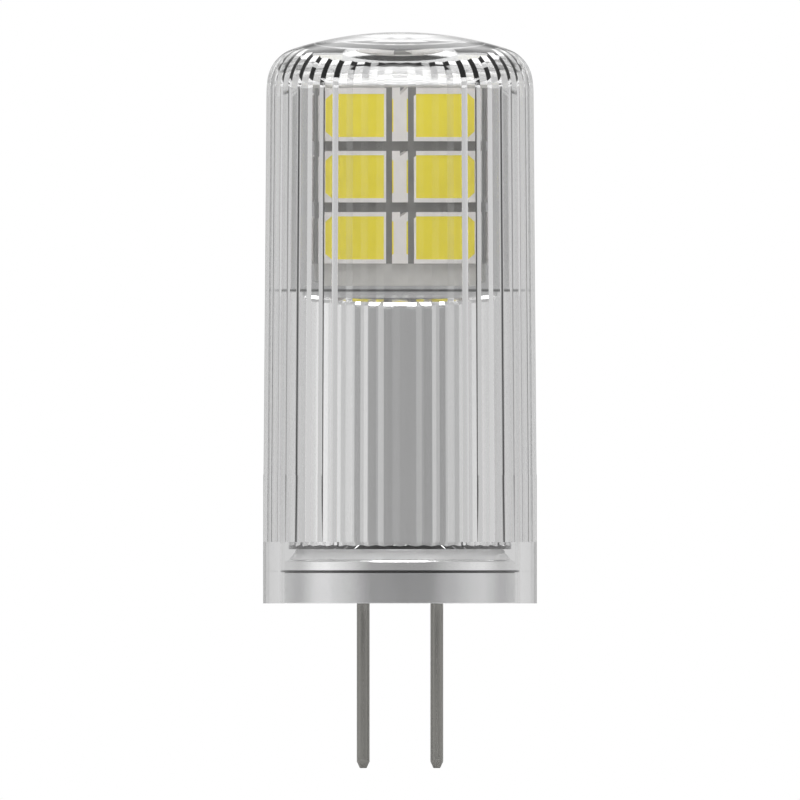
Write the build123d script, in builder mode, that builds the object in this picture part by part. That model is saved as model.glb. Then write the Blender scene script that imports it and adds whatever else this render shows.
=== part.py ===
import math
import os

from build123d import *

os.makedirs("parts", exist_ok=True)

# All lengths are in mm. The origin is the centre of the flat underside, +Z points to the dome,
# the two pins point to -Z in the XZ plane, and one light face looks to -Y.

# Clear cover, outside
total_height = 31.05
skirt_radius = 7.435
skirt_top = 7.0
skirt_step = 0.02
wall_draft = 0.445
blend_radius = 6.0
blend_angle = 8
blend_drop = 3.40
corner_radius = 2.05

# Clear cover, inside
wall_thickness = 1.755
skirt_wall = 0.935
crown_wall = 2.15
rib_count = 44
rib_depth = 0.12
bore_draft = 0.37
rib_end_drops = (0.80, 0.46, 0.20, 0)
rib_end_insets = (0, 0.08, 0.26, 0.60)
lip_width = 0.10
lip_lead_in = 0.27
recess_depth = 0.39
ceiling_steps = 3
ceiling_step_height = 0.12
ceiling_step_inset = 1.0
ceiling_rim = 0.62

# Base
plug_top = 1.69
plug_gap = 0.23
gasket_thickness = 0.11
gasket_bore_gap = 0.15
boss_gap = 0.05
boss_height = 1.31
pin_spacing = 4.0
pin_radius = 0.35
pin_root_radius = 0.55
pin_length = 8.95
pin_tip_height = 0.36
pin_tip_radius = 0.20
pin_above_board = 0.25

# Metal core
flange_gap = 0.25
flange_height = 0.55
flange_shelf = 0.20
flange_bevel = 0.08
cone_height = 0.73
core_clearance = 0.10
core_headroom = 1.00
core_top_chamfer = 0.35
core_wall = 1.02
core_floor = 8.25
ledge_slope = 0.108
ledge_bevel = 0.40
seat_height = 0.20
relief_height = 0.10
relief_depth = 0.30

# Light boards
package_width = 3.5
package_height = 2.8
package_depth = 0.70
column_gap = 0.70
row_gap = 0.525
package_clearance = 0.27
package_notch = 0.35
window_border_x = 0.31
window_border_z = 0.23
window_chamfer = 0.30
window_depth = 0.25
fill_sink = 0.02
board_thickness = 0.80
board_proud = 0.23
board_overhang = 0.05
board_margin_top = 0.22
board_margin_bottom = 1.21
board_corner = 0.25
board_gap = 0.20
tape_thickness = 0.10
tape_margin = 0.20

# Driver board and leads; a name that ends in share gives a size or place in board radii
driver_board_thickness = 0.80
driver_board_gap = 0.10
rectifier_share = (0.77, 0.59, 0.32)
rectifier_y_share = 0.59
rectifier_legs_share = (0.95, 0.136, 0.068)
rectifier_leg_y_share = 0.148
chip_share = (0.59, 0.36, 0.25)
chip_legs_share = (0.09, 0.50, 0.057)
chip_leg_x_share = 0.20
choke_share = 0.318
choke_neck_share = 0.16
choke_winding_share = 0.273
choke_height_share = 0.57
choke_plate_share = 0.08
choke_y_share = -0.614
capacitor_share = (0.227, 0.364, 0.25)
capacitor_x_share = 0.845
diode_share = (0.18, 0.227, 0.136)
diode_legs_share = (0.068, 0.295, 0.045)
small_part_x_share = 0.523
small_part_y_share = -0.636
resistor_share = (0.136, 0.227, 0.09)
moulding_bevel_share = 0.027
lead_radius = 0.20
lead_x_share = 0.66
lead_inset = 0.50
lead_rise = 1.05
channel_width = 0.70
channel_end = 0.50

# Sizes that follow from the ones above
blend_foot_z = total_height - blend_drop
wall_foot_radius = skirt_radius - skirt_step
wall_top_radius = wall_foot_radius - (blend_foot_z - skirt_top) * math.tan(math.radians(wall_draft))
bore_mean_radius = skirt_radius - wall_thickness
counterbore_radius = skirt_radius - skirt_wall
ceiling_z = total_height - crown_wall
plug_radius = counterbore_radius - plug_gap
flange_bottom = plug_top + gasket_thickness
flange_top = flange_bottom + flange_height
flange_radius = counterbore_radius - flange_gap
cone_radius = flange_radius - flange_shelf
cone_top = flange_top + cone_height
rib_foot = flange_top + 0.82 * cone_height
recess_top = rib_foot + recess_depth
core_top = ceiling_z - core_headroom
driver_board_bottom = plug_top + boss_height
driver_top = driver_board_bottom + driver_board_thickness
bottom_centre = (Align.CENTER, Align.CENTER, Align.MIN)


def bore_radius_at(z):
    return bore_mean_radius - (z - rib_foot) * math.tan(math.radians(bore_draft))


def crest_radius_at(z):
    return bore_radius_at(z) - rib_depth / 2


core_foot_radius = crest_radius_at(cone_top) - core_clearance
core_top_radius = crest_radius_at(core_top) - core_clearance
inner_bore_radius = core_foot_radius - core_wall
package_column = (package_width + column_gap) / 2
package_pitch = package_height + row_gap
board_width = 2 * package_column + package_width - 2 * board_overhang
# The corners of the light packages clear the rib crests, which sets how deep the flats are milled
package_reach = math.sqrt(crest_radius_at(core_top) ** 2 - (package_column + package_width / 2) ** 2)
board_front = package_reach - package_clearance - package_depth
board_back = board_front - board_thickness
flat_depth = board_back - tape_thickness
board_top = core_top + board_proud
package_row_top = board_top - board_margin_top - package_height / 2
board_bottom = package_row_top - 2 * package_pitch - package_height / 2 - board_margin_bottom
seat_top = board_bottom - board_gap - relief_height
ledge_root = seat_top - seat_height
lead_height = board_bottom + lead_rise
channel_top = lead_height + channel_end
lead_y = flat_depth - lead_inset
inner_bore_top = min(core_floor, ledge_root - core_wall)
driver_board_radius = inner_bore_radius - driver_board_gap
lead_x = lead_x_share * driver_board_radius


def export(part, name):
    part.label = name
    export_step(part, "parts/" + name + ".step")


def rib_outline(mean_radius):
    # V-shaped ribs: grooves at even corners, crests at odd ones; a groove faces -Y.
    points = []
    for index in range(2 * rib_count):
        angle = math.radians(index * 180 / rib_count - 90)
        radius = mean_radius + (rib_depth / 2 if index % 2 == 0 else -rib_depth / 2)
        points.append((radius * math.cos(angle), radius * math.sin(angle)))
    return points


# Cover: the outside is turned. A long arc leads the wall over into the shoulder arc, and that one into the crown arc
def on_arc(centre, radius, angle):
    return (centre[0] + radius * math.cos(angle), centre[1] + radius * math.sin(angle))


blend_end_angle = math.radians(blend_angle)
blend_centre = (wall_top_radius - blend_radius, blend_foot_z)
blend_mid = on_arc(blend_centre, blend_radius, blend_end_angle / 2)
blend_end = on_arc(blend_centre, blend_radius, blend_end_angle)
shoulder = on_arc(blend_end, -corner_radius, blend_end_angle)
crown_rise = total_height - shoulder[1]
crown_radius = (shoulder[0] ** 2 + crown_rise**2 - corner_radius**2) / (2 * (crown_rise - corner_radius))
crown_centre = (0, total_height - crown_radius)
tangent_angle = math.atan2(shoulder[1] - crown_centre[1], shoulder[0])
corner_mid = on_arc(shoulder, corner_radius, (blend_end_angle + tangent_angle) / 2)
tangent_point = on_arc(shoulder, corner_radius, tangent_angle)
crown_mid = on_arc(crown_centre, crown_radius, (tangent_angle + math.pi / 2) / 2)
lead_in_radius = bore_mean_radius + rib_depth / 2 + lip_lead_in * 0.8
lip_radius = lead_in_radius + lip_width

with BuildPart() as cover:
    with BuildSketch(Plane.XZ):
        with BuildLine():
            Polyline(
                (0, total_height),
                (0, 0),
                (skirt_radius, 0),
                (skirt_radius, skirt_top),
                (wall_foot_radius, skirt_top),
                (wall_top_radius, blend_foot_z),
            )
            ThreePointArc((wall_top_radius, blend_foot_z), blend_mid, blend_end)
            ThreePointArc(blend_end, corner_mid, tangent_point)
            ThreePointArc(tangent_point, crown_mid, (0, total_height))
        make_face()
    revolve(axis=Axis.Z)

    # Ribbed bore, a drafted prism of 88 facets whose upper ends turn in to the flat ceiling
    cavity_foot_z = rib_foot - lip_width / 2
    cavity_levels = [(cavity_foot_z, bore_radius_at(cavity_foot_z))]
    for drop, inset in zip(rib_end_drops, rib_end_insets):
        cavity_levels.append((ceiling_z - drop, bore_radius_at(ceiling_z - drop) - inset))
    with BuildPart(mode=Mode.PRIVATE) as cavity:
        for level_z, level_radius in cavity_levels:
            with BuildSketch(Plane.XY.offset(level_z)):
                Polygon(*rib_outline(level_radius), align=None)
        loft(ruled=True)
    add(cavity.part, mode=Mode.SUBTRACT)

    # Ring steps in the ceiling
    ring_radius = cavity_levels[-1][1] - ceiling_rim
    for step in range(ceiling_steps):
        with Locations((0, 0, ceiling_z - ceiling_step_height / 2)):
            Cylinder(
                ring_radius - step * ceiling_step_inset,
                (step + 1.5) * ceiling_step_height,
                align=bottom_centre,
                mode=Mode.SUBTRACT,
            )

    # Counterbore, the recess round the ribbed tube's lip, and the lead-in cone at the ribs' feet
    Cylinder(counterbore_radius, rib_foot, align=bottom_centre, mode=Mode.SUBTRACT)
    with BuildSketch(Plane.XZ):
        with BuildLine():
            Polyline(
                (lip_radius, rib_foot - lip_width),
                (lip_radius, recess_top),
                (counterbore_radius, recess_top),
                (counterbore_radius, rib_foot - lip_width),
                close=True,
            )
        make_face()
    revolve(axis=Axis.Z, mode=Mode.SUBTRACT)
    with Locations((0, 0, rib_foot)):
        Cone(
            lead_in_radius,
            bore_mean_radius - rib_depth,
            lip_lead_in,
            align=bottom_centre,
            mode=Mode.SUBTRACT,
        )
export(cover.part, "cover")

# Core: a drafted round bar with a flange, milled to a flat on each side for the light boards
cut_reach = skirt_radius
ledge_end = ledge_root - ledge_slope * (cut_reach - board_front)
with BuildPart() as core:
    with BuildSketch(Plane.XZ):
        with BuildLine():
            Polyline(
                (0, flange_bottom),
                (flange_radius, flange_bottom),
                (flange_radius, flange_top - flange_bevel),
                (flange_radius - flange_bevel, flange_top),
                (cone_radius, flange_top),
                (core_foot_radius, cone_top),
                (core_top_radius, core_top - core_top_chamfer),
                (core_top_radius - core_top_chamfer, core_top),
                (0, core_top),
                close=True,
            )
        make_face()
    revolve(axis=Axis.Z)
    for side in (-1, 1):
        with BuildSketch(Plane.YZ):
            with BuildLine():
                Polyline(
                    (side * flat_depth, total_height),
                    (side * flat_depth, seat_top + relief_height),
                    (side * (flat_depth - relief_depth), seat_top + relief_height),
                    (side * (flat_depth - relief_depth), seat_top),
                    (side * board_front, seat_top),
                    (side * board_front, ledge_root),
                    (side * cut_reach, ledge_end),
                    (side * cut_reach, total_height),
                    close=True,
                )
            make_face()
        extrude(amount=cut_reach, both=True, mode=Mode.SUBTRACT)
    rim_low = ledge_root - ledge_slope * (core_foot_radius - board_front) - ledge_bevel
    rim_edges = core.edges().filter_by(
        lambda edge: rim_low < edge.center().Z < ledge_root
        and abs(edge.center().Y) > (board_front + core_foot_radius) / 2
        and edge.length > core_foot_radius / 2
    )
    chamfer(rim_edges, ledge_bevel)
    with Locations((0, 0, flange_bottom)):
        Cylinder(inner_bore_radius, inner_bore_top - flange_bottom, align=bottom_centre, mode=Mode.SUBTRACT)
    channel_depth = lead_inset + channel_width / 2
    channel_foot = inner_bore_top - channel_end
    for side_x in (-1, 1):
        for side_y in (-1, 1):
            with Locations((side_x * lead_x, side_y * (flat_depth - channel_depth / 2), channel_foot)):
                Box(
                    channel_width,
                    channel_depth,
                    channel_top - channel_foot,
                    align=bottom_centre,
                    mode=Mode.SUBTRACT,
                )
export(core.part, "core")

# Thermal tape and light boards, one set on each flat
for face, turn in (("front", 0), ("back", 180)):
    with BuildPart() as tape:
        tape_bottom = channel_top + tape_margin
        with Locations((0, -flat_depth - tape_thickness / 2, tape_bottom)):
            Box(
                board_width - 2 * tape_margin,
                tape_thickness,
                core_top - core_top_chamfer - tape_bottom,
                align=bottom_centre,
            )
    export(tape.part.rotate(Axis.Z, turn), "thermal_tape_" + face)

    with BuildPart() as board:
        with Locations((0, -board_back - board_thickness / 2, board_bottom)):
            Box(board_width, board_thickness, board_top - board_bottom, align=bottom_centre)
        chamfer(board.edges().filter_by(Axis.Y), board_corner)
    export(board.part.rotate(Axis.Z, turn), "light_board_" + face)

    number = 0
    for row in range(3):
        for column in (-1, 1):
            number += 1
            centre_x = column * package_column
            centre_z = package_row_top - row * package_pitch
            window_plane = Plane(
                origin=(centre_x, -board_front - package_depth, centre_z),
                x_dir=(1, 0, 0),
                z_dir=(0, -1, 0),
            )
            with BuildPart() as package:
                with Locations((centre_x, -board_front - package_depth / 2, centre_z)):
                    Box(package_width, package_depth, package_height)
                notch_edge = package.edges().filter_by(Axis.Y).sort_by(
                    lambda edge: edge.center().X - edge.center().Z
                )[0]
                chamfer(notch_edge, package_notch)
                with BuildSketch(window_plane):
                    window = Rectangle(package_width - 2 * window_border_x, package_height - 2 * window_border_z)
                    chamfer(window.vertices(), window_chamfer)
                extrude(amount=-window_depth, mode=Mode.SUBTRACT)
            export(package.part.rotate(Axis.Z, turn), "light_package_" + face + "_" + str(number))

            with BuildPart() as phosphor:
                with BuildSketch(window_plane.offset(-window_depth)):
                    window = Rectangle(package_width - 2 * window_border_x, package_height - 2 * window_border_z)
                    chamfer(window.vertices(), window_chamfer)
                extrude(amount=window_depth - fill_sink)
            export(phosphor.part.rotate(Axis.Z, turn), "phosphor_" + face + "_" + str(number))

# Base plug with a boss that locates the core and carries the driver board
boss_radius = inner_bore_radius - boss_gap
pin_places = [(-pin_spacing / 2, 0), (pin_spacing / 2, 0)]
with BuildPart() as base_plug:
    Cylinder(plug_radius, plug_top, align=bottom_centre)
    Cylinder(boss_radius, driver_board_bottom, align=bottom_centre)
    with Locations(pin_places):
        Cylinder(pin_root_radius, driver_board_bottom, align=bottom_centre, mode=Mode.SUBTRACT)
export(base_plug.part, "base_plug")

with BuildPart() as gasket:
    with Locations((0, 0, plug_top)):
        Cylinder(counterbore_radius, gasket_thickness, align=bottom_centre)
        Cylinder(boss_radius + gasket_bore_gap, gasket_thickness, align=bottom_centre, mode=Mode.SUBTRACT)
export(gasket.part, "gasket")

# Pins: thin where they stand out, thicker from the underside up, so the plug holds them
for side, name in ((-1, "pin_left"), (1, "pin_right")):
    with BuildPart() as pin:
        with BuildSketch(Plane.XZ):
            with BuildLine():
                Polyline(
                    (0, driver_top + pin_above_board),
                    (0, -pin_length),
                    (pin_tip_radius, -pin_length),
                    (pin_radius, -pin_length + pin_tip_height),
                    (pin_radius, 0),
                    (pin_root_radius, 0),
                    (pin_root_radius, driver_top + pin_above_board),
                    close=True,
                )
            make_face()
        revolve(axis=Axis.Z)
    export(pin.part.moved(Location((side * pin_spacing / 2, 0, 0))), name)

# Driver board and what stands on it, laid out to the board's radius
with BuildPart() as driver_board:
    with Locations((0, 0, driver_board_bottom)):
        Cylinder(driver_board_radius, driver_board_thickness, align=bottom_centre)
    with Locations([(x, y, driver_board_bottom) for x, y in pin_places]):
        Cylinder(pin_root_radius, driver_board_thickness, align=bottom_centre, mode=Mode.SUBTRACT)
export(driver_board.part, "driver_board")


def laid_out(share):
    return [length * driver_board_radius for length in share]


moulding_bevel = moulding_bevel_share * driver_board_radius
rectifier_y = rectifier_y_share * driver_board_radius
rectifier_leg_y = rectifier_leg_y_share * driver_board_radius
with BuildPart() as rectifier:
    with Locations((0, rectifier_y, driver_top)):
        Box(*laid_out(rectifier_share), align=bottom_centre)
    chamfer(rectifier.faces().sort_by(Axis.Z)[-1].edges(), moulding_bevel)
    for side in (-1, 1):
        with Locations((0, rectifier_y + side * rectifier_leg_y, driver_top)):
            Box(*laid_out(rectifier_legs_share), align=bottom_centre)
export(rectifier.part, "rectifier")

chip_leg_x = chip_leg_x_share * driver_board_radius
with BuildPart() as driver_chip:
    with Locations((0, 0, driver_top)):
        Box(*laid_out(chip_share), align=bottom_centre)
    chamfer(driver_chip.faces().sort_by(Axis.Z)[-1].edges(), moulding_bevel)
    with Locations([(column * chip_leg_x, 0, driver_top) for column in (-1, 0, 1)]):
        Box(*laid_out(chip_legs_share), align=bottom_centre)
export(driver_chip.part, "driver_chip")

choke_radius, choke_neck, choke_coil, choke_height, choke_plate, choke_y = laid_out(
    (choke_share, choke_neck_share, choke_winding_share, choke_height_share, choke_plate_share, choke_y_share)
)
with BuildPart() as choke_core:
    with Locations((0, choke_y, driver_top)):
        Cylinder(choke_radius, choke_plate, align=bottom_centre)
        Cylinder(choke_neck, choke_height, align=bottom_centre)
    with Locations((0, choke_y, driver_top + choke_height - choke_plate)):
        Cylinder(choke_radius, choke_plate, align=bottom_centre)
export(choke_core.part, "choke_core")

with BuildPart() as choke_winding:
    winding_height = choke_height - 2 * choke_plate
    with Locations((0, choke_y, driver_top + choke_plate)):
        Cylinder(choke_coil, winding_height, align=bottom_centre)
        Cylinder(choke_neck, winding_height, align=bottom_centre, mode=Mode.SUBTRACT)
export(choke_winding.part, "choke_winding")

for side, name in ((-1, "input_capacitor"), (1, "output_capacitor")):
    with BuildPart() as capacitor:
        with Locations((side * capacitor_x_share * driver_board_radius, 0, driver_top)):
            Box(*laid_out(capacitor_share), align=bottom_centre)
        chamfer(capacitor.edges(), moulding_bevel / 2)
    export(capacitor.part, name)

small_part_x = small_part_x_share * driver_board_radius
small_part_y = small_part_y_share * driver_board_radius
with BuildPart() as diode:
    with Locations((-small_part_x, small_part_y, driver_top)):
        Box(*laid_out(diode_share), align=bottom_centre)
        Box(*laid_out(diode_legs_share), align=bottom_centre)
export(diode.part, "diode")

with BuildPart() as sense_resistor:
    with Locations((small_part_x, small_part_y, driver_top)):
        Box(*laid_out(resistor_share), align=bottom_centre)
export(sense_resistor.part, "sense_resistor")

# Leads from the driver board up behind each light board, bent over to its back
for side_x, side_name in ((-1, "left"), (1, "right")):
    for side_y, face in ((-1, "front"), (1, "back")):
        x = side_x * lead_x
        with BuildPart() as lead:
            with BuildLine():
                Polyline(
                    (x, side_y * lead_y, driver_top),
                    (x, side_y * lead_y, lead_height),
                    (x, side_y * board_back, lead_height),
                )
            with BuildSketch(Plane((x, side_y * lead_y, driver_top))):
                Circle(lead_radius)
            sweep(transition=Transition.RIGHT)
        export(lead.part, "lead_" + face + "_" + side_name)
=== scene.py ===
import math

import bmesh
import bpy
import numpy as np
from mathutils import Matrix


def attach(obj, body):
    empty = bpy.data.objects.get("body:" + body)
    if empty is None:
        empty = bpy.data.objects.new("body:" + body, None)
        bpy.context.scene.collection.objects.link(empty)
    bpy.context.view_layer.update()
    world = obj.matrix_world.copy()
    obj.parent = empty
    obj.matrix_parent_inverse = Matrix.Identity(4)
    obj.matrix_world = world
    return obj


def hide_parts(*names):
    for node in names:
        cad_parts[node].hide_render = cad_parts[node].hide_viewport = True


MM = 0.001
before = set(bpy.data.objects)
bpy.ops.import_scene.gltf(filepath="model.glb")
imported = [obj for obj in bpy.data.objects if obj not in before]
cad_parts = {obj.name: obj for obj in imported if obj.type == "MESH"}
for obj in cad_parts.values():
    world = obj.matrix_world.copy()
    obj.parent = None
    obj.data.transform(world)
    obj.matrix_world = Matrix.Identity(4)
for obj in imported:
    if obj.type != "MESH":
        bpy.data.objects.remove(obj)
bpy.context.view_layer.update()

# Camera: the photograph is taken level, from far away, straight at one light face.
PIXELS = 800
PIXELS_PER_MM = 18.4
SEAT_ROW = 603.4
VIEW_WIDTH = PIXELS / PIXELS_PER_MM * MM
VIEW_CENTRE_Z = (SEAT_ROW - PIXELS / 2) / PIXELS_PER_MM * MM
# In metres
CAMERA_AWAY = 0.4
CAMERA_REACH = 5
camera_data = bpy.data.cameras.new("camera")
camera_data.type = "ORTHO"
camera_data.ortho_scale = VIEW_WIDTH
camera_data.clip_end = CAMERA_REACH
camera = bpy.data.objects.new("camera", camera_data)
camera.location = (0.0, -CAMERA_AWAY, VIEW_CENTRE_Z)
camera.rotation_euler = (math.radians(90), 0, 0)
bpy.context.scene.collection.objects.link(camera)
bpy.context.scene.camera = camera
bpy.context.scene.view_settings.view_transform = "Standard"

# Sizes of the lamp in mm, as in the part's source

# Cover, outside
TOTAL_HEIGHT = 31.05
SKIRT_RADIUS = 7.435
SKIRT_TOP = 7.0
SKIRT_STEP = 0.02
WALL_DRAFT = math.radians(0.445)
BLEND_RADIUS = 6.0
BLEND_ANGLE = math.radians(8)
BLEND_FOOT = 27.65
CORNER_RADIUS = 2.05

# Cover, inside
BORE_RADIUS = 5.68
BORE_DRAFT = math.radians(0.37)
COUNTERBORE_RADIUS = 6.50
CEILING_Z = 28.90
RIB_COUNT = 44
RIB_DEPTH = 0.12
RIB_FOOT = 2.9486
RECESS_TOP = 3.3386
LEAD_IN = 0.27
LEAD_IN_SPREAD = 0.8
LEAD_IN_RADIUS = BORE_RADIUS + RIB_DEPTH / 2 + LEAD_IN_SPREAD * LEAD_IN
LIP_WIDTH = 0.10
LIP_RADIUS = LEAD_IN_RADIUS + LIP_WIDTH
# The upper ends of the ribs turn in: drop below the ceiling, and inset
RIB_ENDS = (
    (0.80, 0.0),
    (0.62, 0.03),
    (0.46, 0.08),
    (0.32, 0.155),
    (0.20, 0.26),
    (0.09, 0.40),
    (0.0, 0.60),
)
# Ring steps: radius, and rise over the ceiling inside it
CEILING_RINGS = ((4.25, 0.12), (3.25, 0.24), (2.25, 0.36))

# Core
FLANGE_RADIUS = 6.25
FLANGE_BOTTOM = 1.80
FLANGE_TOP = 2.35
FLANGE_SHELF = 0.20
FLANGE_ROUND = 0.10
FLANGE_ROUND_MIDDLE = 0.03
CORE_FOOT_RADIUS = 5.5192
CORE_FOOT_Z = 3.08
CORE_TOP_RADIUS = 5.3589
CORE_TOP = 27.90
CORE_TOP_CHAMFER = 0.35
CORE_BORE_RADIUS = 4.499
CORE_BORE_TOP = 8.25
FLAT_DEPTH = 2.00
BOARD_FRONT = 2.90
LEDGE_ROOT = 16.75
LEDGE_SLOPE = 0.108
SEAT_HEIGHT = 0.20
SEAT_TOP = LEDGE_ROOT + SEAT_HEIGHT
GROOVE_HEIGHT = 0.10
GROOVE_TOP = SEAT_TOP + GROOVE_HEIGHT
GROOVE_DEPTH = 0.30
# The ledge's rim, from its start to its end: run left to the edge, and drop
RIM = ((0.285, 0.0), (0.075, 0.136), (0.0, 0.30))
RIM_GROWTH = 0.25
RIM_TO_BAR = 0.05
# A column this near to the bar's arc counts as on it
ON_ARC = 0.0001

# Light boards, and the light packages on them
BOARD_FOOT = 17.2
PACKAGES_FOOT = 18.45
PACKAGES_TOP = 27.92
BOARD_TOP = 28.2

# Base, black ring and pins
PLUG_RADIUS = 6.27
PLUG_TOP = 1.69
PLUG_FOOT_EDGE = 0.03
PLUG_TOP_EDGE = 0.04
BOSS_RADIUS = 4.45
BOSS_TOP = 3.0
RING_BORE_RADIUS = 4.6
RING_EDGE = 0.02
PIN_X = 2.0
PIN_RADIUS = 0.35
PIN_ROOT_RADIUS = 0.55
PIN_LENGTH = 8.95
PIN_TOP = 4.05
PIN_SHANK_FOOT = 0.5
# The pin's tip: radius, and height over its end
PIN_TIP = ((0.0, 0.0), (0.16, 0.0), (0.20, 0.03), (PIN_RADIUS, 0.36))

# Rows and columns of the meshes
CROWN_ROWS = 28
CORNER_ROWS = 24
BLEND_ROWS = 8
WALL_ROWS = 12
FACET_COLUMNS = 4
SIDE_COLUMNS = 64
FLAT_COLUMNS = 24
BAR_ROWS = 8
TURNED_COLUMNS = 160
PIN_COLUMNS = 48
SHANK_ROWS = 6
# Points closer than this, in mm, are welded, which closes the poles
WELD = 0.0005
# Edges bent by more degrees than this stay sharp
SHARP = 25.0
SHARP_COVER = 8.0
SHARP_CORE = 22.0


def grid_mesh(name, grid, sharp=SHARP):
    """A piece from a (rows, columns, 3) grid in mm: quads join two rows and two columns, and the
    columns close round. A row whose points all coincide is welded to one pole."""
    rows, columns, _ = grid.shape
    points = grid.reshape(-1, 3)
    r = np.arange(rows - 1)[:, None] * columns
    c = np.arange(columns)[None, :]
    n = (c + 1) % columns
    quads = np.stack([r + c, r + n, r + columns + n, r + columns + c], axis=-1).reshape(-1, 4)
    mesh = bpy.data.meshes.new(name)
    mesh.from_pydata((points * MM).tolist(), [], quads.tolist())
    work = bmesh.new()
    work.from_mesh(mesh)
    bmesh.ops.remove_doubles(work, verts=work.verts, dist=WELD * MM)
    bmesh.ops.dissolve_degenerate(work, edges=work.edges, dist=WELD * MM)
    bmesh.ops.recalc_face_normals(work, faces=work.faces)
    work.to_mesh(mesh)
    work.free()
    mesh.polygons.foreach_set("use_smooth", np.ones(len(mesh.polygons), dtype=bool))
    mesh.set_sharp_from_angle(angle=math.radians(sharp))
    mesh.update()
    piece = bpy.data.objects.new(name, mesh)
    bpy.context.scene.collection.objects.link(piece)
    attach(piece, "root")
    return piece


def turned(name, profile, columns=TURNED_COLUMNS, centre=(0.0, 0.0)):
    """A solid of revolution: each point has its row's radius and height, at its column's angle."""
    profile = np.array(profile, dtype=float)
    angle = np.linspace(0, 2 * np.pi, columns, endpoint=False)
    grid = np.empty((len(profile), columns, 3))
    grid[..., 0] = centre[0] + profile[:, :1] * np.cos(angle)
    grid[..., 1] = centre[1] + profile[:, :1] * np.sin(angle)
    grid[..., 2] = profile[:, 1:]
    return grid_mesh(name, grid)


def arc(centre, radius, start, end, count):
    """Points on a circle in the (radius, height) plane, from one angle to another in degrees."""
    angle = np.radians(np.linspace(start, end, count))
    return np.stack(
        [centre[0] + radius * np.cos(angle), centre[1] + radius * np.sin(angle)], axis=1
    )


# Cover


def bore_radius_at(z):
    """The ribs' mean radius, which falls from their foot upward by the draft."""
    return BORE_RADIUS - (z - RIB_FOOT) * math.tan(BORE_DRAFT)


def clear_cover():
    """The cover's closed skin. Each row is a ring of the profile, from the crown down the outside
    and up the inside. The rows of the ribs are stars, all others are circles."""
    wall_foot = SKIRT_RADIUS - SKIRT_STEP
    wall_top = wall_foot - (BLEND_FOOT - SKIRT_TOP) * math.tan(WALL_DRAFT)
    # A long arc leads the wall over into the shoulder arc, and that one into the crown arc
    blend_end = math.degrees(BLEND_ANGLE)
    blend_centre = (wall_top - BLEND_RADIUS, BLEND_FOOT)
    blend = arc(blend_centre, BLEND_RADIUS, blend_end, 0, BLEND_ROWS)
    shoulder = blend[0, 0] - CORNER_RADIUS * math.cos(BLEND_ANGLE)
    corner_z = blend[0, 1] - CORNER_RADIUS * math.sin(BLEND_ANGLE)
    crown_rise = TOTAL_HEIGHT - corner_z
    crown_radius = (shoulder**2 + crown_rise**2 - CORNER_RADIUS**2) / (
        2 * (crown_rise - CORNER_RADIUS)
    )
    crown_z = TOTAL_HEIGHT - crown_radius
    tangent = math.degrees(math.atan2(corner_z - crown_z, shoulder))
    crown = arc((0, crown_z), crown_radius, 90, tangent, CROWN_ROWS)
    corner = arc((shoulder, corner_z), CORNER_RADIUS, tangent, blend_end, CORNER_ROWS)
    wall_radii = np.linspace(wall_top, wall_foot, WALL_ROWS)
    wall_heights = np.linspace(BLEND_FOOT, SKIRT_TOP, WALL_ROWS)
    wall = np.stack([wall_radii, wall_heights], axis=1)
    skirt_and_lip = [
        (SKIRT_RADIUS, SKIRT_TOP),
        (SKIRT_RADIUS, SKIRT_TOP / 2),
        (SKIRT_RADIUS, 0.0),
        (COUNTERBORE_RADIUS, 0.0),
        (COUNTERBORE_RADIUS, RECESS_TOP),
        (LIP_RADIUS, RECESS_TOP),
        (LIP_RADIUS, RIB_FOOT),
        (LEAD_IN_RADIUS, RIB_FOOT),
    ]
    round_rows = np.concatenate([crown, corner[1:], blend[1:], wall[1:], skirt_and_lip])

    columns = 2 * RIB_COUNT * FACET_COLUMNS
    index = np.arange(columns)
    corner_index = index // FACET_COLUMNS
    share = (index % FACET_COLUMNS) / FACET_COLUMNS
    corner_angle = corner_index * math.pi / RIB_COUNT - math.pi / 2
    next_angle = corner_angle + math.pi / RIB_COUNT
    angle = corner_angle + share * math.pi / RIB_COUNT
    circle = np.stack([np.cos(angle), np.sin(angle)], axis=1)

    def star(radius):
        """Corners lie half the rib depth outside and inside the radius by turns, as grooves and
        crests, and the points between two corners lie on their straight line."""
        to_groove = np.where(corner_index % 2 == 0, RIB_DEPTH / 2, -RIB_DEPTH / 2)
        here = radius + to_groove
        there = radius - to_groove
        x = (1 - share) * here * np.cos(corner_angle) + share * there * np.cos(next_angle)
        y = (1 - share) * here * np.sin(corner_angle) + share * there * np.sin(next_angle)
        return np.stack([x, y], axis=1)

    def level(outline, z):
        """The outline's points, all at one height."""
        return np.column_stack([outline, np.full(columns, z)])

    layers = [level(radius * circle, z) for radius, z in round_rows]
    # The ribs' feet: where the lead-in cone meets the star, so the edge waves
    foot = star(bore_radius_at(RIB_FOOT))
    cone_slope = (LEAD_IN_RADIUS - (BORE_RADIUS - RIB_DEPTH)) / LEAD_IN
    foot_rise = (LEAD_IN_RADIUS - np.hypot(foot[:, 0], foot[:, 1])) / cone_slope
    layers.append(np.column_stack([foot, RIB_FOOT + foot_rise]))
    for drop, inset in RIB_ENDS:
        z = CEILING_Z - drop
        layers.append(level(star(bore_radius_at(z) - inset), z))
    step_z = CEILING_Z
    for radius, rise in CEILING_RINGS:
        layers.append(level(radius * circle, step_z))
        step_z = CEILING_Z + rise
        layers.append(level(radius * circle, step_z))
    layers.append(level(0.0 * circle, step_z))
    piece = grid_mesh("clear_cover", np.array(layers), sharp=SHARP_COVER)
    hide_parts("cover")
    return piece


# Core


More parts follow.
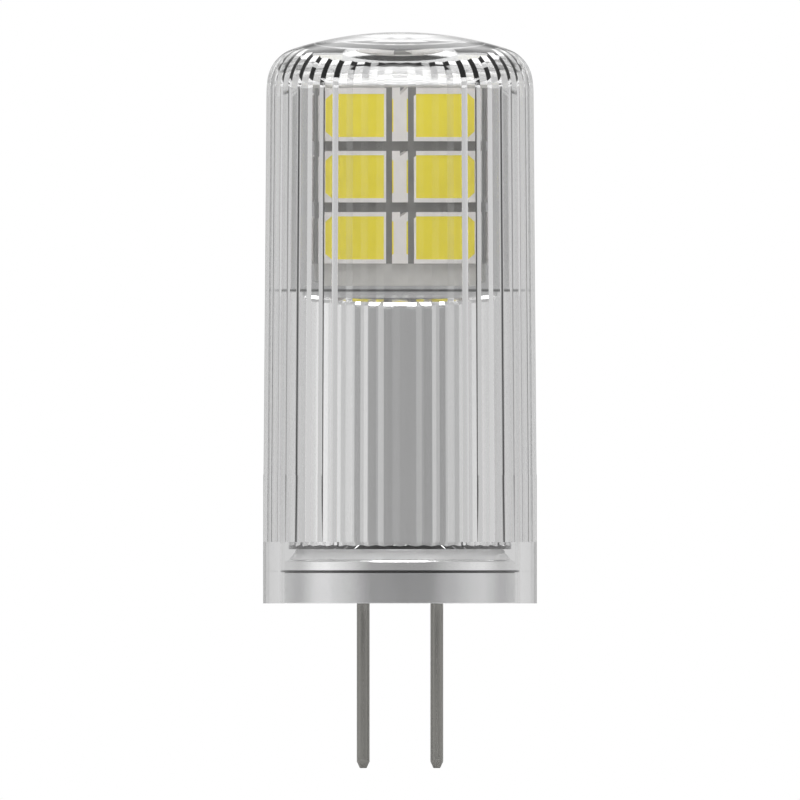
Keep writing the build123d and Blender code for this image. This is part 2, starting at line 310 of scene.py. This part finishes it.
def metal_core():
    """The core's closed skin. The rows above the ledge are sections of the bar between its flats.
    The rows below move the ledge's columns out to a radius, so each corner keeps its column."""

    def section(radius, clip, z):
        """A circle clipped at a depth to the front and back: two arcs and two straight runs."""
        reach = math.asin(min(1.0, clip / radius))
        sweep = np.linspace(-reach, reach, SIDE_COLUMNS, endpoint=False)
        right = np.stack([radius * np.cos(sweep), radius * np.sin(sweep)], axis=1)
        half = radius * math.cos(reach)
        run = np.linspace(half, -half, FLAT_COLUMNS, endpoint=False)
        depth = radius * math.sin(reach)
        back = np.stack([run, np.full(FLAT_COLUMNS, depth)], axis=1)
        outline = np.concatenate([right, back, -right, -back])
        return np.column_stack([outline, np.full(len(outline), z)])

    def radius_at(z):
        """The bar's radius, in a straight line from its foot to its top."""
        share = (z - CORE_FOOT_Z) / (CORE_TOP - CORE_FOOT_Z)
        return CORE_FOOT_RADIUS + share * (CORE_TOP_RADIUS - CORE_FOOT_RADIUS)

    top_edge = section(CORE_TOP_RADIUS - CORE_TOP_CHAMFER, FLAT_DEPTH, CORE_TOP)
    layers = [
        top_edge * (0, 0, 1),
        top_edge,
        section(CORE_TOP_RADIUS, FLAT_DEPTH, CORE_TOP - CORE_TOP_CHAMFER),
        section(radius_at(GROOVE_TOP), FLAT_DEPTH, GROOVE_TOP),
        section(radius_at(GROOVE_TOP), FLAT_DEPTH - GROOVE_DEPTH, GROOVE_TOP),
        section(radius_at(SEAT_TOP), FLAT_DEPTH - GROOVE_DEPTH, SEAT_TOP),
        section(radius_at(SEAT_TOP), BOARD_FRONT, SEAT_TOP),
        section(radius_at(LEDGE_ROOT), BOARD_FRONT, LEDGE_ROOT),
    ]
    ledge = layers[-1][:, :2]
    reach = np.hypot(ledge[:, 0], ledge[:, 1])

    def moved_out(radius, z):
        """The ledge's columns, each along its own direction, at a radius and a height."""
        outline = ledge * (radius / reach)[:, None]
        return np.column_stack([outline, np.broadcast_to(z, reach.shape)])

    # The ledge falls to the front and ends in a rim with two bevels, which grow from nothing at
    # the ends of its arc. Columns that are on the bar's arc already have no ledge.
    rim = radius_at(LEDGE_ROOT)
    lean = np.abs(ledge[:, 1]) / reach
    growth = np.clip((rim * lean - BOARD_FRONT) / RIM_GROWTH, 0.0, 1.0)
    grown = np.where(reach < rim - ON_ARC, growth, 0.0)
    for run, drop in RIM:
        out = np.maximum(rim - run * grown, reach)
        fall = LEDGE_SLOPE * np.maximum(out * lean - BOARD_FRONT, 0) + drop * grown
        layers.append(moved_out(out, LEDGE_ROOT - fall))
    rim_low = LEDGE_ROOT - LEDGE_SLOPE * (rim - BOARD_FRONT) - RIM[-1][1]
    for z in np.linspace(rim_low - RIM_TO_BAR, CORE_FOOT_Z, BAR_ROWS):
        layers.append(moved_out(radius_at(z), z))
    for radius, z in (
        (FLANGE_RADIUS - FLANGE_SHELF, FLANGE_TOP),
        (FLANGE_RADIUS - FLANGE_ROUND, FLANGE_TOP),
        (FLANGE_RADIUS - FLANGE_ROUND_MIDDLE, FLANGE_TOP - FLANGE_ROUND_MIDDLE),
        (FLANGE_RADIUS, FLANGE_TOP - FLANGE_ROUND),
        (FLANGE_RADIUS, FLANGE_BOTTOM),
        (CORE_BORE_RADIUS, FLANGE_BOTTOM),
        (CORE_BORE_RADIUS, CORE_BORE_TOP),
        (0.0, CORE_BORE_TOP),
    ):
        layers.append(moved_out(radius, z))
    piece = grid_mesh("metal_core", np.array(layers), sharp=SHARP_CORE)
    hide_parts("core")
    return piece


cover = clear_cover()
core = metal_core()

plug = turned(
    "round_base",
    [
        (0, 0),
        (PLUG_RADIUS - PLUG_FOOT_EDGE, 0),
        (PLUG_RADIUS, PLUG_FOOT_EDGE),
        (PLUG_RADIUS, PLUG_TOP - PLUG_TOP_EDGE),
        (PLUG_RADIUS - PLUG_TOP_EDGE, PLUG_TOP),
        (BOSS_RADIUS, PLUG_TOP),
        (BOSS_RADIUS, BOSS_TOP),
        (0, BOSS_TOP),
    ],
)
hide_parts("base_plug")

gasket = turned(
    "black_ring",
    [
        (RING_BORE_RADIUS, PLUG_TOP),
        (COUNTERBORE_RADIUS - RING_EDGE, PLUG_TOP),
        (COUNTERBORE_RADIUS, PLUG_TOP + RING_EDGE),
        (COUNTERBORE_RADIUS, FLANGE_BOTTOM - RING_EDGE),
        (COUNTERBORE_RADIUS - RING_EDGE, FLANGE_BOTTOM),
        (RING_BORE_RADIUS, FLANGE_BOTTOM),
        (RING_BORE_RADIUS, PLUG_TOP),
    ],
)
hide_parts("gasket")

pins = []
for side, name in ((-1, "left"), (1, "right")):
    tip = [(radius, -PIN_LENGTH + height) for radius, height in PIN_TIP]
    shank_heights = np.linspace(-PIN_LENGTH + PIN_SHANK_FOOT, 0.0, SHANK_ROWS)
    shank = [(PIN_RADIUS, z) for z in shank_heights]
    root = [(PIN_ROOT_RADIUS, 0.0), (PIN_ROOT_RADIUS, PIN_TOP), (0, PIN_TOP)]
    centre = (side * PIN_X, 0)
    pin = turned("contact_pin_" + name, tip + shank + root, columns=PIN_COLUMNS, centre=centre)
    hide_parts("pin_" + name)
    pins.append(pin)


# Finishes

# The band of the noise that carries the colours and the roughness
NOISE_BAND = (0.3, 0.7)
NOISE_DETAIL = 4
# In mm: the depth of the bumps, and half the height over which one tone turns into the next
BUMP_DEPTH = 0.02
TONE_BLEND = 0.02
# Sockets of a Mix node: its two numbers, its two colours, and the mixed colour
MIX_NUMBERS = (2, 3)
MIX_COLORS = (6, 7)
MIX_COLOR_OUT = 2


def finish(name, color, metallic=0.0, roughness=0.5, **sockets):
    """A new Principled material with one colour, and with other sockets by name."""
    made = bpy.data.materials.new(name)
    made.use_nodes = True
    shader = made.node_tree.nodes["Principled BSDF"]
    shader.inputs["Base Color"].default_value = (*color, 1)
    shader.inputs["Metallic"].default_value = metallic
    shader.inputs["Roughness"].default_value = roughness
    for socket, value in sockets.items():
        shader.inputs[socket.replace("_", " ")].default_value = value
    return made


def worn(name, low, high, scale, stretch=(1, 1, 1), rough=(0.3, 0.4), bump=0.0, **sockets):
    """A material on which noise on Object coordinates drives the colour from low to high, the
    roughness between two values, and a slight bump. The stretch scales the noise by axis."""
    made = finish(name, low, **sockets)
    nodes, links = made.node_tree.nodes, made.node_tree.links
    shader = nodes["Principled BSDF"]
    place = nodes.new("ShaderNodeTexCoord")
    mapping = nodes.new("ShaderNodeMapping")
    mapping.inputs["Scale"].default_value = stretch
    noise = nodes.new("ShaderNodeTexNoise")
    noise.inputs["Scale"].default_value = scale
    noise.inputs["Detail"].default_value = NOISE_DETAIL
    links.new(place.outputs["Object"], mapping.inputs["Vector"])
    links.new(mapping.outputs["Vector"], noise.inputs["Vector"])
    tones = nodes.new("ShaderNodeValToRGB")
    for stop, position, tone in zip(tones.color_ramp.elements, NOISE_BAND, (low, high)):
        stop.position = position
        stop.color = (*tone, 1)
    links.new(noise.outputs["Fac"], tones.inputs["Fac"])
    links.new(tones.outputs["Color"], shader.inputs["Base Color"])
    spread = nodes.new("ShaderNodeMapRange")
    spread.inputs["From Min"].default_value = NOISE_BAND[0]
    spread.inputs["From Max"].default_value = NOISE_BAND[1]
    spread.inputs["To Min"].default_value = rough[0]
    spread.inputs["To Max"].default_value = rough[1]
    links.new(noise.outputs["Fac"], spread.inputs["Value"])
    links.new(spread.outputs["Result"], shader.inputs["Roughness"])
    if bump:
        relief = nodes.new("ShaderNodeBump")
        relief.inputs["Strength"].default_value = bump
        relief.inputs["Distance"].default_value = BUMP_DEPTH * MM
        links.new(noise.outputs["Fac"], relief.inputs["Height"])
        links.new(relief.outputs["Normal"], shader.inputs["Normal"])
    return made


def by_height(made, socket, steps):
    """Sets a socket by the height in mm over the base: each step's value holds from its height up
    to the next one, with a short blend. Where the socket has a texture, the value multiplies it."""
    nodes, links = made.node_tree.nodes, made.node_tree.links
    shader = nodes["Principled BSDF"]
    place = nodes.new("ShaderNodeTexCoord")
    split = nodes.new("ShaderNodeSeparateXYZ")
    links.new(place.outputs["Object"], split.inputs["Vector"])
    low, high = steps[0][0], steps[-1][0]
    share = nodes.new("ShaderNodeMapRange")
    share.inputs["From Min"].default_value = low * MM
    share.inputs["From Max"].default_value = high * MM
    links.new(split.outputs["Z"], share.inputs["Value"])
    points = [steps[0]]
    for (_, before), (height, value) in zip(steps, steps[1:]):
        points += [(height - TONE_BLEND, before), (height + TONE_BLEND, value)]
    ramp = nodes.new("ShaderNodeValToRGB")
    stops = ramp.color_ramp.elements
    while len(stops) < len(points):
        stops.new(0.5)
    for stop, (height, value) in zip(stops, points):
        stop.position = min(max((height - low) / (high - low), 0), 1)
        stop.color = (value, value, value, 1)
    links.new(share.outputs["Result"], ramp.inputs["Fac"])
    target = shader.inputs[socket]
    if not target.is_linked:
        links.new(ramp.outputs["Color"], target)
        return
    product = nodes.new("ShaderNodeMix")
    product.data_type = "RGBA"
    product.blend_type = "MULTIPLY"
    product.inputs[0].default_value = 1
    links.new(target.links[0].from_socket, product.inputs[MIX_COLORS[0]])
    links.new(ramp.outputs["Color"], product.inputs[MIX_COLORS[1]])
    links.new(product.outputs[MIX_COLOR_OUT], target)


def dress(piece, made):
    """Gives a piece its one material."""
    piece.data.materials.clear()
    piece.data.materials.append(made)


dress(
    cover,
    finish("clear_polycarbonate", (1, 1, 1), roughness=0.0, IOR=1.585, Transmission_Weight=1.0),
)

satin_metal_painted_light = worn(
    "satin_metal_painted_light", (0.87, 0.87, 0.87), (0.895, 0.895, 0.895), 900,
    stretch=(1, 1, 0.15), rough=(0.065, 0.085), metallic=1.0,
)
# Painted light on the cone at the foot: paler and near non-metal, for the light it catches. Painted
# shade in the groove under the boards: near black, for the shadow of the gap.
by_height(
    satin_metal_painted_light,
    "Base Color",
    (
        (0.0, 1.0),
        (FLANGE_TOP - TONE_BLEND, 1.12),
        (CORE_FOOT_Z, 1.0),
        (SEAT_TOP - TONE_BLEND, 0.08),
        (GROOVE_TOP + TONE_BLEND, 1.0),
        (CORE_TOP, 1.0),
    ),
)
# The same cone near non-metal, as part of its painted light
by_height(
    satin_metal_painted_light,
    "Metallic",
    ((0.0, 1.0), (FLANGE_TOP - TONE_BLEND, 0.1), (CORE_FOOT_Z, 1.0), (CORE_TOP, 1.0)),
)
dress(core, satin_metal_painted_light)

satin_base = worn(
    "satin_base", (0.68, 0.68, 0.685), (0.72, 0.72, 0.725), 900,
    stretch=(1, 1, 0.2), rough=(0.08, 0.11), metallic=1.0,
)
dress(plug, satin_base)

black_rubber = worn(
    "black_rubber", (0.006, 0.006, 0.006), (0.012, 0.012, 0.012), 1500,
    rough=(0.5, 0.6), Specular_IOR_Level=0.15,
)
dress(gasket, black_rubber)

drawn_wire = worn(
    "drawn_wire", (0.23, 0.225, 0.21), (0.28, 0.275, 0.26), 2500,
    stretch=(1, 1, 0.03), rough=(0.22, 0.3), metallic=1.0,
)
for pin in pins:
    dress(pin, drawn_wire)

yellow_silicone = worn(
    "yellow_silicone", (0.94, 0.79, 0.015), (0.97, 0.82, 0.025), 1500,
    rough=(0.35, 0.45), bump=0.1,
)
package_moulding = worn(
    "package_moulding", (0.82, 0.79, 0.765), (0.87, 0.84, 0.815), 1200,
    rough=(0.45, 0.55), bump=0.1,
)
board_mask_painted_shade = worn(
    "board_mask_painted_shade", (0.565, 0.555, 0.53), (0.62, 0.61, 0.585), 1400,
    rough=(0.4, 0.5), bump=0.1,
)
# Painted shade: the board darker over the height of the light packages, for the shade between them,
# and paler on its ends under and over them
by_height(
    board_mask_painted_shade,
    "Base Color",
    ((BOARD_FOOT, 1.0), (PACKAGES_FOOT, 0.41), (PACKAGES_TOP, 1.0), (BOARD_TOP, 1.0)),
)
tape = worn(
    "tape", (0.58, 0.58, 0.56), (0.64, 0.64, 0.62), 2000,
    rough=(0.7, 0.8), bump=0.2,
)
green_laminate = worn(
    "green_laminate", (0.025, 0.14, 0.05), (0.04, 0.2, 0.08), 1500,
    rough=(0.35, 0.5), bump=0.15,
)
black_moulding = worn(
    "black_moulding", (0.015, 0.015, 0.015), (0.03, 0.03, 0.03), 3000,
    rough=(0.5, 0.65), bump=0.3,
)
ferrite = worn(
    "ferrite", (0.04, 0.04, 0.045), (0.08, 0.08, 0.08), 3000,
    rough=(0.6, 0.75), bump=0.4,
)
enamelled_copper = worn(
    "enamelled_copper", (0.55, 0.22, 0.08), (0.68, 0.30, 0.13), 1500,
    stretch=(1, 1, 20), rough=(0.25, 0.4), bump=0.4, metallic=1.0,
)
tan_ceramic = worn(
    "tan_ceramic", (0.37, 0.26, 0.16), (0.45, 0.33, 0.22), 2500,
    rough=(0.4, 0.55), bump=0.2,
)
tinned_wire = worn(
    "tinned_wire", (0.55, 0.55, 0.53), (0.65, 0.65, 0.63), 2500,
    rough=(0.25, 0.4), bump=0.1, metallic=1.0,
)
# Finishes of the pieces that keep their solid's mesh, by the start of their names
BY_START = {
    "phosphor": yellow_silicone,
    "light_package": package_moulding,
    "light_board": board_mask_painted_shade,
    "thermal_tape": tape,
    "driver_board": green_laminate,
    "rectifier": black_moulding,
    "driver_chip": black_moulding,
    "diode": black_moulding,
    "sense_resistor": black_moulding,
    "choke_core": ferrite,
    "choke_winding": enamelled_copper,
    "input_capacitor": tan_ceramic,
    "output_capacitor": tan_ceramic,
    "lead_": tinned_wire,
}
for node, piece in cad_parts.items():
    for start, made in BY_START.items():
        if not node.startswith(start):
            continue
        if not piece.material_slots:
            piece.data.materials.append(made)
        for slot in piece.material_slots:
            slot.material = made

# Floor and light

FLOOR_REACH = 0.25
FLOOR_Z = -PIN_LENGTH * MM
floor_mesh = bpy.data.meshes.new("floor")
floor_corners = [(-1, -1), (1, -1), (1, 1), (-1, 1)]
floor_mesh.from_pydata(
    [(x * FLOOR_REACH, y * FLOOR_REACH, FLOOR_Z) for x, y in floor_corners], [], [(0, 1, 2, 3)]
)
floor = bpy.data.objects.new("floor", floor_mesh)
bpy.context.scene.collection.objects.link(floor)
dress(floor, finish("floor", (0.85, 0.85, 0.85), roughness=0.9))

# Tones of the room. The walls: degrees from straight behind the lamp, clockwise seen from above,
# and the tone there. Two narrow black cards, 5 degrees to each side of straight behind, draw the
# thin dark edges in the clear plastic.
WALL_TONES = (
    (-180, 0.35), (-152, 0.39), (-138, 0.62), (-122, 0.80), (-106, 0.97), (-92, 0.92),
    (-80, 0.70), (-72, 0.56), (-64, 0.57), (-52, 0.66), (-40, 0.64), (-26, 0.62),
    (-7.2, 0.60), (-6.2, 0.02), (-3.4, 0.02), (-2.4, 0.60),
    (2.4, 0.60), (3.4, 0.02), (6.2, 0.02), (7.2, 0.60),
    (26, 0.64), (40, 0.66), (52, 0.64), (62, 0.57), (72, 0.57), (82, 0.70),
    (92, 0.82), (106, 0.80), (122, 0.66), (138, 0.50), (152, 0.35), (180, 0.35),
)
ROOM_CEILING = 0.72
ROOM_CEILING_ASIDE = 0.50
ROOM_GROUND = 0.5
PANEL_FRONT = 4.2
PANEL_BACK = 0.8
BACKGROUND = 1.0
# Where one tone turns into the next: the direction's share upward, downward, sideways, and
# toward the middle of a panel
CEILING_EDGE = (0.15, 0.40)
GROUND_EDGE = (0.05, 0.25)
ASIDE_EDGE = (0.35, 0.75)
PANEL_EDGE = (0.88, 0.96)
# The middle of a panel lies 40 degrees up: the level and the rising part of its direction
PANEL_LEVEL = 0.77
PANEL_RISE = 0.64

world = bpy.data.worlds.new("studio")
bpy.context.scene.world = world
world.use_nodes = True
nodes, links = world.node_tree.nodes, world.node_tree.links
nodes.clear()


def feed(sockets, values):
    """Sets each socket to its number, or links it to the output given in place of one."""
    for socket, value in zip(sockets, values):
        if isinstance(value, (int, float)):
            socket.default_value = value
        else:
            links.new(value, socket)


def math_node(operation, *values):
    """The result of one operation on numbers and outputs."""
    node = nodes.new("ShaderNodeMath")
    node.operation = operation
    feed(node.inputs, values)
    return node.outputs[0]


def step_between(value, low, high):
    """A smooth step from 0 at the low value to 1 at the high one."""
    node = nodes.new("ShaderNodeMapRange")
    node.interpolation_type = "SMOOTHSTEP"
    node.inputs["From Min"].default_value = low
    node.inputs["From Max"].default_value = high
    links.new(value, node.inputs["Value"])
    return node.outputs["Result"]


def blend_to(first, second, share):
    """The first value where the share is 0, the second where it is 1, and a line between them."""
    node = nodes.new("ShaderNodeMix")
    node.data_type = "FLOAT"
    links.new(share, node.inputs[0])
    feed([node.inputs[number] for number in MIX_NUMBERS], (first, second))
    return node.outputs[0]


direction = nodes.new("ShaderNodeTexCoord")
split = nodes.new("ShaderNodeSeparateXYZ")
links.new(direction.outputs["Generated"], split.inputs["Vector"])
sideways, away, upward = split.outputs


def panel(side, strength):
    """A round soft panel, high in front of the lamp (side -1) or behind it (side 1)."""
    level_part = math_node("MULTIPLY", away, PANEL_LEVEL * side)
    rising_part = math_node("MULTIPLY", upward, PANEL_RISE)
    toward = math_node("ADD", level_part, rising_part)
    return math_node("MULTIPLY", step_between(toward, *PANEL_EDGE), strength)


bearing = math_node("ARCTAN2", sideways, away)
walls = nodes.new("ShaderNodeValToRGB")
links.new(math_node("MULTIPLY_ADD", bearing, 0.5 / math.pi, 0.5), walls.inputs["Fac"])
stops = walls.color_ramp.elements
while len(stops) < len(WALL_TONES):
    stops.new(0.5)
for stop, (degrees, value) in zip(stops, WALL_TONES):
    stop.position = degrees / 360 + 0.5
    stop.color = (value, value, value, 1)

up = step_between(upward, *CEILING_EDGE)
down = step_between(math_node("MULTIPLY", upward, -1.0), *GROUND_EDGE)
aside = step_between(math_node("ABSOLUTE", sideways), *ASIDE_EDGE)
overhead = blend_to(ROOM_CEILING, ROOM_CEILING_ASIDE, aside)
room = blend_to(blend_to(walls.outputs["Color"], overhead, up), ROOM_GROUND, down)
panels = math_node("ADD", panel(-1, PANEL_FRONT), panel(1, PANEL_BACK))
studio = math_node("ADD", room, panels)
# The camera alone sees a plain white background
path = nodes.new("ShaderNodeLightPath")
strength = blend_to(studio, BACKGROUND, path.outputs["Is Camera Ray"])
background = nodes.new("ShaderNodeBackground")
background.inputs["Color"].default_value = (1, 1, 1, 1)
output = nodes.new("ShaderNodeOutputWorld")
links.new(strength, background.inputs["Strength"])
links.new(background.outputs[0], output.inputs["Surface"])
